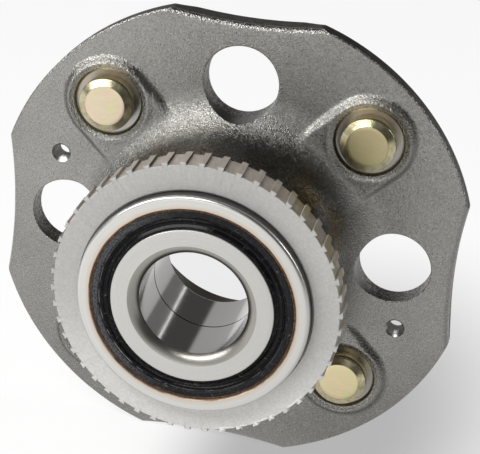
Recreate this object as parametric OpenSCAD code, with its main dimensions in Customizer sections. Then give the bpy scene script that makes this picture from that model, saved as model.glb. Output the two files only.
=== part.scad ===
// Rear wheel hub bearing with a turning outer ring.
// The bearing's axis is Y. The knuckle side is -Y and the wheel side is +Y, with Z up.
// The origin is on the axis, where the two inner rings meet.

/* [Inner rings] */
// Diameter of the spindle bore
bore_d = 32.5; // [26:0.5:39]
// Thickness of an inner ring under the balls
inner_wall = 3.85; // [3:0.05:6]
// Width of the rounded lead-in at the outer end of the bore, seen on the face
lead_w = 2.95; // [1.5:0.05:3.2]
// Depth of that lead-in along the bore
lead_depth = 2.5; // [1.5:0.1:4]
// Radius of its rounding, which meets the face and the bore at a crisp edge
lead_r = 4.6; // [3.5:0.1:12]
// Small chamfer on the ring's other edges
ring_chamfer = 0.4; // [0.2:0.1:0.8]

/* [Ball rows] */
// Diameter of a ball
ball_d = 9.525; // [7.5:0.005:11.5]
// Width of the land between the two rows in the outer ring
mid_land = 7.9; // [5:0.1:12]
// Contact angle of a row, from the radial direction
contact_angle = 38; // [20:1:45]
// Groove radius of a race as a share of the ball's diameter
race_share = 0.52; // [0.515:0.005:0.54]
// Running gap between a ball and each of its two races
race_clearance = 0.1; // [0.05:0.01:0.15]
// Height of the shoulder that carries the balls sideways
shoulder_h = 4.15; // [3:0.05:4.5]
// Height of the low shoulder on a race's open side
relief_h = 0.25; // [0.1:0.05:0.5]

/* [Cages] */
// Cage behind the balls
cage_back = 0.6; // [0.4:0.1:1.5]
// How far the cage's fingers reach past the ball centres
cage_grip = 1.8; // [1:0.1:2.5]
// Least width of a cage's finger between two balls
cage_finger = 1.6; // [1:0.1:3]
// Gap between a cage and the inner ring's land
cage_clearance = 0.6; // [0.4:0.1:1]
// Gap between a cage and the open side of the outer race
cage_rim_gap = 0.95; // [0.6:0.05:1.4]
// Gap between a ball and its pocket
pocket_clearance = 0.12; // [0.08:0.01:0.2]

/* [Seals] */
// Width of a seal's steel case
seal_w = 4.4; // [3.5:0.1:6]
// How far a seal lies below the ring faces
seal_recess = 0.45; // [0.2:0.05:1]
// Sheet thickness of a seal's case
case_t = 0.6; // [0.4:0.1:1]
// Gap between the case's inner edge and the land on the inner ring
case_edge_gap = 1.8; // [1:0.1:3]
// Step from the open side of the race out to the inboard seal's seat
seat_step_inboard = 0.8; // [0.4:0.1:1.5]
// The same step on the wheel side, where the seat runs on into the cap bore
seat_step_outboard = 0.4; // [0.3:0.1:1.5]
// Gap between a seal lip and the land it runs on
lip_clearance = 0.1; // [0.05:0.01:0.15]
// Gap between a cage and the seal beside it
seal_gap = 0.4; // [0.3:0.1:1]

/* [Barrel] */
// Wall of the outer ring round the inboard seal
barrel_wall = 4.1; // [3:0.1:7]
// Rounding of the barrel's inboard end
barrel_round = 1.1; // [0.5:0.1:2]
// Step of the shoulder that the tone ring is pressed against
tone_shoulder = 1.5; // [0.8:0.1:3]
// Fillet from the barrel into the flange
root_fillet = 15.5; // [8:0.5:18]

/* [Tone ring] */
// Teeth round the ring
tooth_count = 50; // [36:1:60]
// Height of a tooth
tooth_h = 0.9; // [0.6:0.1:2]
// Share of the pitch that a tooth fills
tooth_share = 0.35; // [0.3:0.01:0.55]
// Turn of the first tooth from the level line
tooth_phase = 0.95; // [-3:0.05:3]
// Radial thickness of the ring without its teeth
tone_t = 8; // [5:0.1:10]
// Width of the ring
tone_w = 8.4; // [5:0.1:10]
// How far the ring's face lies behind the end of the barrel
tone_setback = 3.6; // [2:0.1:6]
// Chamfer at the ring's bore
tone_chamfer = 0.6; // [0.3:0.1:1]

/* [Flange] */
// Bolt circle of the wheel studs
pcd = 114.3; // [108:0.1:140]
// Distance from a stud's centre to the rim
rim_margin = 18.85; // [17:0.05:24]
// Thickness of the flange
flange_t = 7.5; // [6:0.1:12]
// Distance from the origin to the flange's inboard face
flange_y = 27.5; // [22:0.1:36]
// Depth of each concave cut in the rim, at its middle
cut_depth = 5.2; // [2:0.1:7]
// Radius of each concave cut
cut_r = 155; // [100:1:220]
// Rolled edge along the cuts
cut_roll = 1.8; // [0.8:0.1:2.5]
// Chamfer on the rim's wheel side
rim_chamfer = 2.5; // [1:0.1:3]
// Edge break on the rim's knuckle side
rim_break = 0.4; // [0.2:0.1:0.8]

/* [Holes] */
// Diameter of the four access holes
access_d = 23; // [16:0.5:28]
// Metal left between an access hole and the cut in the rim
access_web = 6.9; // [4:0.1:10]
// Thread core of the two holes for the brake disc screws
screw_core_d = 5; // [4:0.1:7]
// Distance from the rim in to a screw hole's centre
screw_inset = 17; // [14:0.5:20]
// Turn of the screw holes from the level line
screw_angle = -20.4; // [-24:0.1:-18]
// Chamfer at each end of a screw hole
screw_chamfer = 0.6; // [0.3:0.1:1]

/* [Wheel pilot] */
// Wall of the pilot round the cap's seat
pilot_wall = 2.3; // [1.5:0.1:5]
// How far the pilot stands out of the flange
pilot_len = 13; // [9:0.1:18]
// Depth of the seat for the dust cap
cap_depth = 7.5; // [4:0.1:12]
// Step from the seal's bore out to the cap's seat
cap_step = 1.2; // [0.3:0.1:2]
// Chamfer on the pilot's nose
pilot_chamfer = 0.8; // [0.3:0.1:1.2]
// Depth of the turned relief at the pilot's foot
face_relief = 0.5; // [0.3:0.1:1]
// Width of that relief
face_relief_w = 3; // [1.5:0.5:6]

/* [Wheel studs] */
// Nominal thread diameter
stud_d = 12; // [10:0.5:14]
// Height of the serrated collar, which is pressed into the flange, above the thread
knurl_h = 0.45; // [0.2:0.05:0.8]
// Length of the stud beyond the flange
stud_len = 33; // [22:1:42]
// Diameter of the head
head_d = 16.8; // [15.5:0.1:20.5]
// Height of the head
head_h = 5.3; // [3.5:0.1:6]
// Height of the head's bevel
bevel_h = 2; // [1:0.1:3]
// Width of the head's bevel
bevel_w = 1.8; // [1:0.1:2.5]
// Chamfer at the end of the thread
stud_tip = 1.2; // [0.5:0.1:2]

/* [Stud bosses] */
// Gap between a head and the wall of its spot face
spot_clearance = 2.3; // [1:0.1:3]
// Depth of the spot face below the boss
spot_depth = 1.6; // [0.5:0.1:2]
// Height of the boss and its ear above the flange
boss_h = 2; // [1.2:0.1:3]
// Width of the dished lip round the spot face
boss_lip = 2.5; // [1.5:0.1:4]
// Depth of that dish
dish_depth = 0.5; // [0.2:0.1:0.6]
// Width of the boss's sloping flank
boss_flank = 2.5; // [1.5:0.1:4]

/* [Hidden] */
$fn = 96;
over = 1;                 // overrun of a cutter past the surface it leaves
flank_steps = 6;          // facets down a boss's sloping flank
roll_steps = 4;           // facets of a rolled or rounded edge

// Races, from the bore outwards
ball_r = ball_d / 2;
groove_r = race_share * ball_d;
groove_shift = groove_r - ball_r - race_clearance;
bore_r = bore_d / 2;
inner_bottom_r = bore_r + inner_wall;
pitch_r = inner_bottom_r + groove_r - groove_shift * cos(contact_angle);
outer_bottom_r = pitch_r + groove_r - groove_shift * cos(contact_angle);
land_r = inner_bottom_r + shoulder_h;
inner_relief_r = inner_bottom_r + relief_h;
mid_land_r = outer_bottom_r - shoulder_h;
open_side_r = outer_bottom_r - relief_h;
cage_in_r = land_r + cage_clearance;
cage_out_r = open_side_r - cage_rim_gap;

// Balls in each row: as many as the pitch circle holds with the cage's fingers between them
ball_count = floor(2 * PI * pitch_r / (ball_d + cage_finger));
ball_pitch = 360 / ball_count;

// Seats and walls
seat_in_r = open_side_r + seat_step_inboard;
seat_out_r = open_side_r + seat_step_outboard;
barrel_r = seat_in_r + barrel_wall;
shoulder_r = barrel_r + tone_shoulder;
tone_root_r = barrel_r + tone_t;
tone_tip_r = tone_root_r + tooth_h;
cap_r = seat_out_r + cap_step;
pilot_r = cap_r + pilot_wall;
seat_chamfer = 0.4;       // lead-in of the inboard seal's seat

// Places along the axis, as distances from the origin
row_y = mid_land / 2 + ball_r;
cage_end_y = row_y + ball_r + cage_back;
seat_y = cage_end_y + seal_gap;
seal_end_y = seat_y + seal_w;
ring_w = seal_end_y + seal_recess;
tone_front_y = -ring_w + tone_setback;
tone_back_y = tone_front_y + tone_w;
back_y = flange_y + flange_t;
pilot_end_y = back_y + pilot_len;

// Flange outline
flange_r = pcd / 2 + rim_margin;
cut_centre = flange_r - cut_depth + cut_r;
access_r = access_d / 2;
access_centre = flange_r - cut_depth - access_web - access_r;
screw_centre = flange_r - screw_inset;
quarter_turns = [0, 90, 180, 270];
stud_angles = [45, 135, 225, 315];

// Bosses and studs
stud_r = stud_d / 2;
knurl_r = stud_r + knurl_h;
head_r = head_d / 2;
spot_r = head_r + spot_clearance;
crest_r = spot_r + boss_lip;
foot_r = crest_r + boss_flank;
spot_y = flange_y - boss_h + dish_depth + spot_depth;
head_y = spot_y - head_h;
stud_end_y = back_y + stud_len;

// Names of the pieces
STUD_NODES = [for (i = [1:len(stud_angles)]) str("wheel_stud_", i)];
BALL_NODES_IN = [for (i = [1:ball_count]) str("ball_inboard_", i < 10 ? "0" : "", i)];
BALL_NODES_OUT = [for (i = [1:ball_count]) str("ball_outboard_", i < 10 ? "0" : "", i)];

// Turns a shape drawn along +Z onto the bearing's axis, +Y
module on_axis() {
    rotate([-90, 0, 0]) children();
}

// Turns a shape drawn on the +X side to an angle round the axis
module at_angle(angle) {
    rotate([0, -angle, 0]) children();
}

// Revolves a section, drawn as radius and place along the axis
module turned() {
    on_axis() rotate_extrude() children();
}

// Drills along the axis at a distance from it, between two places
module drill(centre, r, from_y, to_y) {
    translate([centre, from_y, 0]) on_axis() cylinder(r = r, h = to_y - from_y);
}

// Countersinks a hole, wide at the first place and narrow at the second
module countersink(centre, wide_r, narrow_r, wide_y, narrow_y) {
    translate([centre, wide_y, 0]) rotate([wide_y < narrow_y ? -90 : 90, 0, 0])
        cylinder(r1 = wide_r, r2 = narrow_r, h = abs(narrow_y - wide_y));
}

// Mirrors a shape drawn on the wheel side to a side: 1 is the wheel's, -1 the knuckle's
module on_side(side) {
    mirror([0, side < 0 ? 1 : 0, 0]) children();
}

// Groove of one race: reach is 1 for the outer ring and -1 for an inner ring
module groove(reach) {
    translate([pitch_r - reach * groove_shift * cos(contact_angle),
               row_y + reach * groove_shift * sin(contact_angle)])
        circle(r = groove_r);
}

// Hub and flange

// Half of the hub's section, filled in to the axis
module hub_outline() {
    polygon([
        [0, -ring_w],
        [barrel_r - barrel_round, -ring_w],
        for (i = [1:roll_steps])
            [barrel_r - barrel_round * (1 - sin(90 * i / roll_steps)),
             -ring_w + barrel_round * (1 - cos(90 * i / roll_steps))],
        [barrel_r, tone_back_y],
        [shoulder_r, tone_back_y],
        [shoulder_r, flange_y],
        [flange_r - rim_break, flange_y],
        [flange_r, flange_y + rim_break],
        [flange_r, back_y - rim_chamfer],
        [flange_r - rim_chamfer, back_y],
        [pilot_r + face_relief_w, back_y],
        [pilot_r + face_relief_w, back_y - face_relief],
        [pilot_r, back_y - face_relief],
        [pilot_r, pilot_end_y - pilot_chamfer],
        [pilot_r - pilot_chamfer, pilot_end_y],
        [0, pilot_end_y]]);
}

// Concave fillet between the barrel and the flange
module root_fillet_section() {
    difference() {
        translate([shoulder_r - over, flange_y - root_fillet])
            square([root_fillet + over, root_fillet + over]);
        translate([shoulder_r + root_fillet, flange_y - root_fillet])
            circle(r = root_fillet);
    }
}

// Room for the bearing inside the hub: lands, seats, races and the cap bore
module hub_cavity() {
    polygon([
        [-over, -ring_w - over],
        [seat_in_r + seat_chamfer, -ring_w - over],
        [seat_in_r + seat_chamfer, -ring_w],
        [seat_in_r, -ring_w + seat_chamfer],
        [seat_in_r, -seat_y],
        [open_side_r, -seat_y],
        [open_side_r, -row_y],
        [mid_land_r, -row_y],
        [mid_land_r, row_y],
        [open_side_r, row_y],
        [open_side_r, seat_y],
        [seat_out_r, seat_y],
        [seat_out_r, pilot_end_y - cap_depth],
        [cap_r, pilot_end_y - cap_depth],
        [cap_r, pilot_end_y + over],
        [-over, pilot_end_y + over]]);
    groove(1);
    mirror([0, 1]) groove(1);
}

// Flank of a boss from its foot up to its crest: half width and height
boss_flank_points = [for (i = [0:flank_steps])
    [foot_r - boss_flank * i / flank_steps, boss_h * (1 - cos(180 * i / flank_steps)) / 2]];

// Raised boss round a stud, and the ear that joins it to the barrel
module stud_ear() {
    translate([pcd / 2, flange_y, 0]) rotate([90, 0, 0]) rotate_extrude()
        polygon(concat([[0, -over], [foot_r, -over]], boss_flank_points, [[0, boss_h]]));
    half = concat([[foot_r, -over]], boss_flank_points);
    mirrored = [for (i = [len(half) - 1:-1:0]) [-half[i][0], half[i][1]]];
    translate([shoulder_r - over, flange_y, 0]) rotate([180, -90, 0])
        linear_extrude(pcd / 2 - shoulder_r + over) polygon(concat(half, mirrored));
}

// Dish, spot face and hole that take a stud
module stud_seat() {
    lip_y = flange_y - boss_h;
    clear_y = flange_y - root_fillet;
    drill(pcd / 2, knurl_r, spot_y - over, back_y + over);
    drill(pcd / 2, spot_r, clear_y, spot_y);
    countersink(pcd / 2, crest_r, spot_r, lip_y, lip_y + dish_depth);
}

// Cutter that leaves the concave rim with its rolled inboard edge
module rim_cut() {
    translate([cut_centre, 0, 0]) on_axis() rotate_extrude($fn = 360) polygon([
        [0, flange_y - over],
        [cut_r + cut_roll, flange_y - over],
        for (i = [0:roll_steps])
            [cut_r + cut_roll * (1 - sin(90 * i / roll_steps)),
             flange_y + cut_roll * (1 - cos(90 * i / roll_steps))],
        [cut_r, back_y + over],
        [0, back_y + over]]);
}

module hub_flange() color("dimgray") difference() {
    union() {
        turned() difference() {
            union() {
                hub_outline();
                root_fillet_section();
            }
            hub_cavity();
        }
        for (angle = stud_angles) at_angle(angle) stud_ear();
    }
    for (angle = stud_angles) at_angle(angle) stud_seat();
    for (angle = quarter_turns) at_angle(angle) {
        rim_cut();
        drill(access_centre, access_r, flange_y - root_fillet, back_y + over);
    }
    for (angle = [screw_angle, screw_angle + 180]) at_angle(angle) {
        wide_r = screw_core_d / 2 + screw_chamfer;
        drill(screw_centre, screw_core_d / 2, flange_y - over, back_y + over);
        countersink(screw_centre, wide_r, screw_core_d / 2, flange_y, flange_y + screw_chamfer);
        countersink(screw_centre, wide_r, screw_core_d / 2, back_y, back_y - screw_chamfer);
    }
}

// Tone ring for the wheel speed sensor

module tone_ring() color("darkgray") {
    gap_w = (1 - tooth_share) * 2 * PI * tone_tip_r / tooth_count;
    translate([0, tone_front_y, 0]) on_axis() difference() {
        linear_extrude(tone_w) difference() {
            circle(r = tone_tip_r);
            circle(r = barrel_r);
            for (i = [1:tooth_count]) rotate(360 * i / tooth_count - tooth_phase)
                translate([tone_root_r, -gap_w / 2]) square([tooth_h + over, gap_w]);
        }
        bore_edge(0, 1);
        bore_edge(tone_w, -1);
    }
}

// Chamfer at one end of the tone ring's bore
module bore_edge(z, inwards) {
    translate([0, 0, z]) mirror([0, 0, inwards > 0 ? 0 : 1])
        cylinder(r1 = barrel_r + tone_chamfer, r2 = barrel_r, h = tone_chamfer);
}

// Inner rings

// Cutter that leaves the rounded lead-in: a corner block without a circle through its two edges
module lead_in() {
    reach = sqrt(pow(lead_r / norm([lead_w, lead_depth]), 2) - 1 / 4);
    difference() {
        translate([bore_r - over, ring_w - lead_depth])
            square([lead_w + over, lead_depth + over]);
        translate([bore_r + lead_w / 2 + reach * lead_depth,
                   ring_w - lead_depth / 2 - reach * lead_w])
            circle(r = lead_r);
    }
}

module inner_ring_section() {
    difference() {
        polygon([
            [bore_r + ring_chamfer, 0],
            [inner_relief_r - ring_chamfer, 0],
            [inner_relief_r, ring_chamfer],
            [inner_relief_r, row_y],
            [land_r, row_y],
            [land_r, ring_w - ring_chamfer],
            [land_r - ring_chamfer, ring_w],
            [bore_r, ring_w],
            [bore_r, ring_chamfer]]);
        groove(-1);
        lead_in();
    }
}

module inner_ring(side) color("silver") on_side(side) turned() inner_ring_section();

// Balls and cages

module ball(side, index) color("lightsteelblue")
    at_angle(ball_pitch * index) translate([pitch_r, side * row_y, 0]) sphere(d = ball_d);

// Snap cage of one row: a back ring with fingers between the balls, and a radial pocket for each
module cage(side) color("tan") on_side(side) {
    grip_y = row_y - cage_grip;
    wall = cage_out_r - cage_in_r;
    difference() {
        turned() translate([cage_in_r, grip_y]) square([wall, cage_end_y - grip_y]);
        for (i = [1:ball_count]) at_angle(ball_pitch * i)
            translate([cage_in_r - over, row_y, 0]) rotate([0, 90, 0])
                cylinder(r = ball_r + pocket_clearance, h = wall + 2 * over);
    }
}

// Seals

// Pressed steel case: a cylinder in the seat and a flange turned in behind the lips
module seal_case(side, seat_r) color("sienna") on_side(side) turned() {
    polygon([
        [land_r + case_edge_gap, seat_y],
        [seat_r, seat_y],
        [seat_r, seal_end_y],
        [seat_r - case_t, seal_end_y],
        [seat_r - case_t, seat_y + case_t],
        [land_r + case_edge_gap, seat_y + case_t]]);
}

// Section of a lip as shares of its width, from the land out, and of its depth, from the grease out
LIP_SECTION = [
    [1, 0], [1, 1], [0.70, 1], [0.64, 0.87], [0.36, 0.87], [0.26, 0.78],
    [0.08, 0.98], [0, 0.94], [0.14, 0.52], [0.22, 0.40], [0, 0.10], [0.04, 0]];

// Rubber moulded in the case, with a grease lip inside and a dust lip outside
module seal_lip(side, seat_r) color("black") on_side(side) turned() {
    run_r = land_r + lip_clearance;
    width = seat_r - case_t - run_r;
    floor_y = seat_y + case_t;
    depth = seal_end_y - floor_y;
    polygon([for (p = LIP_SECTION) [run_r + width * p[0], floor_y + depth * p[1]]]);
}

// Wheel studs

// Pressed in from the knuckle side, with the head in its spot face
module wheel_stud(index) color("khaki")
    at_angle(stud_angles[index - 1]) translate([pcd / 2, 0, 0]) turned() polygon([
        [0, head_y],
        [head_r - bevel_w, head_y],
        [head_r, head_y + bevel_h],
        [head_r, spot_y],
        [knurl_r, spot_y],
        [knurl_r, back_y - knurl_h],
        [stud_r, back_y],
        [stud_r, stud_end_y - stud_tip],
        [stud_r - stud_tip, stud_end_y],
        [0, stud_end_y]]);

hub_flange();
tone_ring();
inner_ring(-1);  // inner_ring_inboard
inner_ring(1);  // inner_ring_outboard
cage(-1);  // cage_inboard
cage(1);  // cage_outboard
seal_case(-1, seat_in_r);  // seal_case_inboard
seal_lip(-1, seat_in_r);  // seal_lip_inboard
seal_case(1, seat_out_r);  // seal_case_outboard
seal_lip(1, seat_out_r);  // seal_lip_outboard
for (i = [1:len(stud_angles)]) wheel_stud(i);
for (i = [1:ball_count]) ball(-1, i);
for (i = [1:ball_count]) ball(1, i);
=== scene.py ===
"""Looks of a rear wheel hub bearing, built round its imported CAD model.

Lengths are in millimetres until a mesh is made. A place on a turned piece is given as
(radius, place along the axis), and a place on the flange as (x, z).
"""

from functools import reduce
from math import acos, asin, atan2, cos, degrees, hypot, pi, radians, sin, sqrt

import bpy
import bmesh
import numpy as np
from mathutils import Matrix, Vector
from mathutils.geometry import delaunay_2d_cdt


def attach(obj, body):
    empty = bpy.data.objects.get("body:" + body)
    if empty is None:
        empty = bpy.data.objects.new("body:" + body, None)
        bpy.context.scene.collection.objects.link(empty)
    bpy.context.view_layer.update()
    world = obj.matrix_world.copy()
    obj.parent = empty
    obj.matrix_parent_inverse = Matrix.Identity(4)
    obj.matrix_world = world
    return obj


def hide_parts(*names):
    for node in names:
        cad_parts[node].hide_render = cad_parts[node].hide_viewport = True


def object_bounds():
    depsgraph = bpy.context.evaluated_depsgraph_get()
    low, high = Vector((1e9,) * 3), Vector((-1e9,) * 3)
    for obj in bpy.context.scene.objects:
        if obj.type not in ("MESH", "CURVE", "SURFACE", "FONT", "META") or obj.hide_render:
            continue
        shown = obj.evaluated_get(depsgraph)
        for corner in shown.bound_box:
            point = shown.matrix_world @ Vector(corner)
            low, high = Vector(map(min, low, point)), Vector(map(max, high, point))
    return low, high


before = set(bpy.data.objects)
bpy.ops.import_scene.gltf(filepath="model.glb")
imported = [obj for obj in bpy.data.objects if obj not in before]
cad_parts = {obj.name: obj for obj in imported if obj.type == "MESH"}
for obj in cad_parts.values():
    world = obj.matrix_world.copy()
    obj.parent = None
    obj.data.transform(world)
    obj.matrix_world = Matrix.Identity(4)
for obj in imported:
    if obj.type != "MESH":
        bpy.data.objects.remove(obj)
cad_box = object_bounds()

MM = 0.001
TAU = 2 * pi
DIVISIONS = 360                       # facets round the axis

# Sizes repeated from the CAD source, in mm

BALL_R = 4.7625
GROOVE_R = 4.953
RACE_CLEARANCE = 0.1
CONTACT = radians(38)
GROOVE_SHIFT = GROOVE_R - BALL_R - RACE_CLEARANCE
BORE_R = 16.25
LEAD_W, LEAD_DEPTH, LEAD_R = 2.95, 2.5, 4.6
RING_CHAMFER = 0.4
SHOULDER_H, RELIEF_H = 4.15, 0.25
INNER_BOTTOM_R = 20.1
PITCH_R = INNER_BOTTOM_R + GROOVE_R - GROOVE_SHIFT * cos(CONTACT)
OUTER_BOTTOM_R = PITCH_R + GROOVE_R - GROOVE_SHIFT * cos(CONTACT)
LAND_R = INNER_BOTTOM_R + SHOULDER_H
INNER_RELIEF_R = INNER_BOTTOM_R + RELIEF_H
MID_LAND_R = OUTER_BOTTOM_R - SHOULDER_H
OPEN_SIDE_R = OUTER_BOTTOM_R - RELIEF_H
SEAT_IN_R = OPEN_SIDE_R + 0.8
SEAT_OUT_R = OPEN_SIDE_R + 0.4
SEAT_CHAMFER = 0.4
BARREL_WALL = 4.1
BARREL_R = SEAT_IN_R + BARREL_WALL
BARREL_ROUND = 1.1
TONE_SHOULDER = 1.5
SHOULDER_R = BARREL_R + TONE_SHOULDER
TONE_T, TONE_W, TONE_SETBACK, TONE_CHAMFER = 8.0, 8.4, 3.6, 0.6
TONE_ROOT_R = BARREL_R + TONE_T
TONE_TIP_R = TONE_ROOT_R + 0.9
TEETH, TOOTH_SHARE, TOOTH_PHASE = 50, 0.35, 0.95
CAP_STEP, CAP_DEPTH = 1.2, 7.5
PILOT_WALL, PILOT_LEN, PILOT_CHAMFER = 2.3, 13, 0.8
FACE_RELIEF, FACE_RELIEF_W = 0.5, 3
CAP_R = SEAT_OUT_R + CAP_STEP
PILOT_R = CAP_R + PILOT_WALL
MID_LAND, CAGE_BACK, SEAL_GAP = 7.9, 0.6, 0.4
SEAL_W, SEAL_RECESS = 4.4, 0.45
CASE_T, LIP_CLEARANCE, CASE_EDGE_GAP = 0.6, 0.1, 1.8
ROW_Y = MID_LAND / 2 + BALL_R
SEAT_Y = ROW_Y + BALL_R + CAGE_BACK + SEAL_GAP
SEAL_END_Y = SEAT_Y + SEAL_W
RING_W = SEAL_END_Y + SEAL_RECESS
TONE_FRONT_Y = -RING_W + TONE_SETBACK
TONE_BACK_Y = TONE_FRONT_Y + TONE_W
FLANGE_Y, FLANGE_T = 27.5, 7.5
BACK_Y = FLANGE_Y + FLANGE_T
PILOT_END_Y = BACK_Y + PILOT_LEN
CAP_Y = PILOT_END_Y - CAP_DEPTH
FLANGE_R = 76.0
CUT_R, CUT_DEPTH = 155.0, 5.2
CUT_CENTRE = FLANGE_R - CUT_DEPTH + CUT_R
CUTS = np.array([[1, 0], [0, 1], [-1, 0], [0, -1]]) * CUT_CENTRE
ROLL_R, RIM_BREAK, BACK_CHAMFER = 1.8, 0.4, 2.5
ROOT_FILLET = 15.5
STUD_CENTRE, STUD_R, KNURL_R, HEAD_R = 57.15, 6.0, 6.45, 8.4
HEAD_Y, SPOT_Y, STUD_END_Y = 22.3, 27.6, 68.0
SPOT_R = 10.7
ACCESS_R, ACCESS_CENTRE = 11.5, 52.4
SCREW_R, SCREW_CENTRE, SCREW_CHAMFER = 2.5, 59.0, 0.6

# Sizes of what this script shapes more finely than the CAD source, in mm

CREST_R, FOOT_R = 12.2, 15.1          # an ear's flank, from its crest down to its foot
BOSS_H = 2.0                          # height of an ear
DISH_R, DISH = 12.9, 0.5              # sunken ground round a stud's seat, and its depth
BEVEL_W, BEVEL_H = 2.1, 0.95          # bevel of a stud's head
BACK_BREAK = 0.3                      # broken edges on the wheel side
ACCESS_EDGE, SEAT_EDGE, SEAT_ROUND = 0.35, 0.5, 0.8
STUD_HOLE_R = 6.5
NECK_STEP = 0.55                      # how far a stud's neck lies below its thread
SEAT_MOUTH_R = SPOT_R + SEAT_EDGE
ACCESS_MOUTH_R = ACCESS_R + ACCESS_EDGE
SCREW_MOUTH_R = SCREW_R + SCREW_CHAMFER

# Points round a stud's seat, an access hole, a screw hole, and on each part of the outline

STUD_N, ACCESS_N, SCREW_N = 96, 128, 48
ARC_POINTS, CUT_POINTS = 64, 44


def polar(centre, angle):
    return (centre * cos(radians(angle)), centre * sin(radians(angle)))


STUDS = [polar(STUD_CENTRE, a) for a in (45, 135, 225, 315)]
ACCESS = [polar(ACCESS_CENTRE, a) for a in (0, 90, 180, 270)]
SCREWS = [polar(SCREW_CENTRE, a) for a in (-20.4, 159.6)]

# Camera found from the photo: its turn round the object, its height and its roll in degrees,
# the aim point's place in the view and the distance in mm, and the focal length in pixels

AZIMUTH, ELEVATION, ROLL = 10.544, 25.379, 4.937
AIM_RIGHT, AIM_UP, DISTANCE = -3.791, -4.172, 490.401
FOCAL_PX, FRAME_PX, SENSOR = 1565.951, 480, 36


def toward(azimuth, elevation):
    """A direction from the object. Azimuth 0 is the photo's side and 90 the right side."""
    a, e = radians(azimuth), radians(elevation)
    return Vector((sin(a) * cos(e), -cos(a) * cos(e), sin(e)))


def add_object(name, data):
    obj = bpy.data.objects.new(name, data)
    bpy.context.scene.collection.objects.link(obj)
    return obj


def placed(at, *axes):
    """The matrix of an object at that place, with its own axes in those directions."""
    return Matrix.Translation(at) @ Matrix(axes).transposed().to_4x4()


def make_camera():
    camera = add_object("camera", bpy.data.cameras.new("camera"))
    back, a, r = toward(AZIMUTH, ELEVATION), radians(AZIMUTH), radians(ROLL)
    level = Vector((cos(a), sin(a), 0))
    upright = back.cross(level)
    right = level * cos(r) + upright * sin(r)
    up = upright * cos(r) - level * sin(r)
    place = back * DISTANCE - right * AIM_RIGHT - up * AIM_UP + Vector((0, FLANGE_Y, 0))
    camera.matrix_world = placed(place * MM, right, up, back)
    camera.data.sensor_width = SENSOR
    camera.data.lens = FOCAL_PX * SENSOR / FRAME_PX
    camera.data.clip_start = 0.01
    bpy.context.scene.camera = camera


make_camera()


# Shader nodes

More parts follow.
